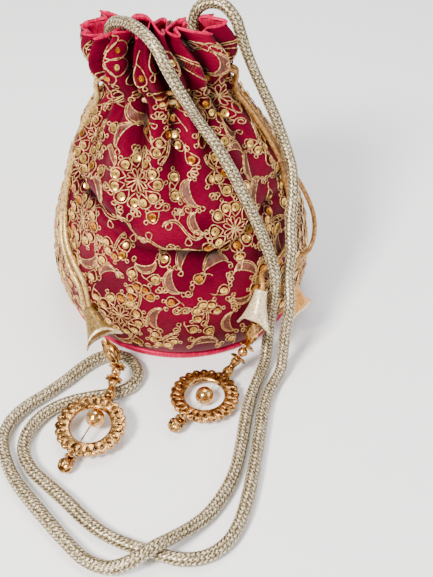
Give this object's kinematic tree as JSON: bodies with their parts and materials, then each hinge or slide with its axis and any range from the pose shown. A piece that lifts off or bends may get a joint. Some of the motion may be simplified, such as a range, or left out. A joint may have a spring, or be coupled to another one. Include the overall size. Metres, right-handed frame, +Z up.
{
  "type": "potli bag",
  "caption": "Gathered round-bottomed cloth drawstring pouch with gold embroidery, a knitted handle cord and a hanging ring tassel on each side",
  "frame": {"origin": "middle of the base panel's underside, where the pouch stands", "axes": "+Z up through the mouth, -Y towards the front where the handle cord lies on the floor, +X to the front's right"},
  "size_m": [0.1675, 0.28, 0.1795],
  "materials": {
    "embroidered_silk": "dupion silk with gold thread embroidery and sequins",
    "crimson_satin": "satin",
    "card_board": "plain card stiffener",
    "metallic_knit": "knitted metallic yarn",
    "satin_cord": "satin",
    "gold_tissue": "shiny tissue satin",
    "gilt_metal": "polished rose gold plate"
  },
  "bodies": {
    "pouch": {"outer_bag": "embroidered_silk", "lining_bag": "crimson_satin", "base_panel": "crimson_satin", "base_stiffener": "card_board", "base_piping": "crimson_satin", "handle_cord": "metallic_knit", "drawstring_left": "satin_cord", "drawstring_right": "satin_cord", "bell_left": "gold_tissue", "bell_right": "gold_tissue", "spare_bell_right": "gold_tissue", "fluted_bud_left": "gilt_metal", "upper_flange_left": "gilt_metal", "lower_flange_left": "gilt_metal", "neck_tube_left": "gilt_metal", "stem_wire_left": "gilt_metal", "ring_left": "gilt_metal", "pin_wire_left": "gilt_metal", "fluted_bud_right": "gilt_metal", "upper_flange_right": "gilt_metal", "lower_flange_right": "gilt_metal", "neck_tube_right": "gilt_metal", "stem_wire_right": "gilt_metal", "ring_right": "gilt_metal", "pin_wire_right": "gilt_metal"},
    "slider_left": {"centre_bead_left": "gilt_metal"},
    "slider_right": {"centre_bead_right": "gilt_metal"},
    "drop_left": {"drop_cap_left": "gilt_metal", "drop_bead_left": "gilt_metal"},
    "drop_right": {"drop_cap_right": "gilt_metal", "drop_bead_right": "gilt_metal"},
    "spinner_left": {"round_bead_left": "gilt_metal"},
    "spinner_right": {"round_bead_right": "gilt_metal"}
  },
  "joints": [
    {"name": "left_bead_slide", "type": "slide", "parent": "pouch", "child": "slider_left", "axis": [0.4185, 0.8975, 0.1392], "range_m": [-0.0101, 0]},
    {"name": "right_bead_slide", "type": "slide", "parent": "pouch", "child": "slider_right", "axis": [0.5878, 0.809, 0], "range_m": [-0.005, 0.005]},
    {"name": "left_drop_spin", "type": "hinge", "parent": "pouch", "child": "drop_left", "pos_m": [-0.05594, -0.14833, 0.00416], "axis": [0.4185, 0.8975, 0.1392], "continuous": true},
    {"name": "right_drop_spin", "type": "hinge", "parent": "pouch", "child": "drop_right", "pos_m": [-0.00305, -0.12246, 0.0052], "axis": [0.5878, 0.809, 0], "continuous": true},
    {"name": "left_bead_spin", "type": "hinge", "parent": "pouch", "child": "spinner_left", "pos_m": [-0.03338, -0.09289, 0.01345], "axis": [0.1698, 0.9633, 0.2079], "continuous": true},
    {"name": "right_bead_spin", "type": "hinge", "parent": "pouch", "child": "spinner_right", "pos_m": [0.03289, -0.07691, 0.01263], "axis": [0.5997, 0.4943, 0.6293], "continuous": true}
  ]
}
